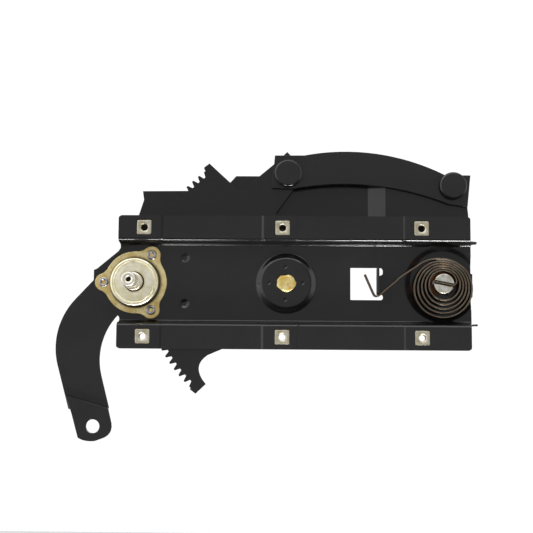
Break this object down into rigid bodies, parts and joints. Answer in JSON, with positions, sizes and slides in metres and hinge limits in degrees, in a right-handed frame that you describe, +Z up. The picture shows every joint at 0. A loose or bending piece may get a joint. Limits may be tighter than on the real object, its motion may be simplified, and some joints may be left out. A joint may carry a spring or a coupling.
{
  "type": "window regulator",
  "caption": "Manual window regulator: a channel plate with a splined crank spindle, toothed sector, curved link and spring-balanced lift arm.",
  "frame": {"origin": "centre of the clinch nut pattern, on the front faces of the mounting pads", "axes": "+X along the channel plate towards the lift arm's post, +Z up, +Y away from the face that is bolted to the door's inner panel; the crank spindle points along -Y"},
  "size_m": [0.4296, 0.063, 0.2986],
  "materials": {
    "black_paint": "gloss black enamel on pressed steel",
    "yellow_zinc": "yellow passivated zinc plating",
    "nut_zinc": "pale zinc plating, worn at the corners",
    "bright_steel": "bright zinc plated steel",
    "spindle_zinc": "pale yellow zinc plated steel, splined",
    "spring_steel": "brown oiled spring steel, bare at the strip's edges",
    "dark_steel": "oiled plain steel",
    "bronze": "sintered bronze"
  },
  "bodies": {
    "plate": {"channel_plate": "black_paint", "pierce_nuts": "nut_zinc", "hub_stud": "yellow_zinc", "hub_washer": "yellow_zinc", "brake_housing": "yellow_zinc", "housing_rivets": "bright_steel", "brake_drum": "dark_steel", "spindle_bush": "bronze", "clock_spring": "spring_steel"},
    "crank": {"crank_spindle": "spindle_zinc", "brake_spring": "dark_steel", "drive_dog": "dark_steel", "pinion_gear": "dark_steel"},
    "sector": {"sector_gear": "black_paint", "sector_bush": "bronze", "crank_pin": "black_paint", "crank_pin_washer": "yellow_zinc"},
    "link": {"curved_link": "black_paint", "link_bush": "bronze"},
    "arm": {"lift_arm": "black_paint", "arm_tip_plate": "black_paint", "arm_hub_plate": "black_paint", "arm_rivets": "dark_steel", "pivot_post": "bright_steel", "post_circlip": "spring_steel", "link_pin": "black_paint", "link_pin_washer": "yellow_zinc"}
  },
  "joints": [
    {"name": "sector_swing", "type": "hinge", "parent": "plate", "child": "sector", "pos_m": [0.004, 0, 0], "axis": [0, -1, 0], "range_deg": [-40, 40]},
    {"name": "crank_turn", "type": "hinge", "parent": "plate", "child": "crank", "pos_m": [-0.14975, 0, 0], "axis": [0, -1, 0], "range_deg": [-507, 507]},
    {"name": "arm_swing", "type": "hinge", "parent": "plate", "child": "arm", "pos_m": [0.163, 0, 0], "axis": [0, -1, 0], "range_deg": [-45, 45], "deforming": ["clock_spring"]},
    {"name": "link_swing", "type": "hinge", "parent": "sector", "child": "link", "pos_m": [0.0055, 0, 0.1134], "axis": [0, -1, 0], "range_deg": [-38, 38]}
  ],
  "couplings": [
    {"joint": "crank_turn", "follows": "sector_swing", "ratio": -12.667},
    {"joint": "arm_swing", "follows": "sector_swing", "ratio": 1.116},
    {"joint": "link_swing", "follows": "sector_swing", "ratio": -0.928}
  ]
}
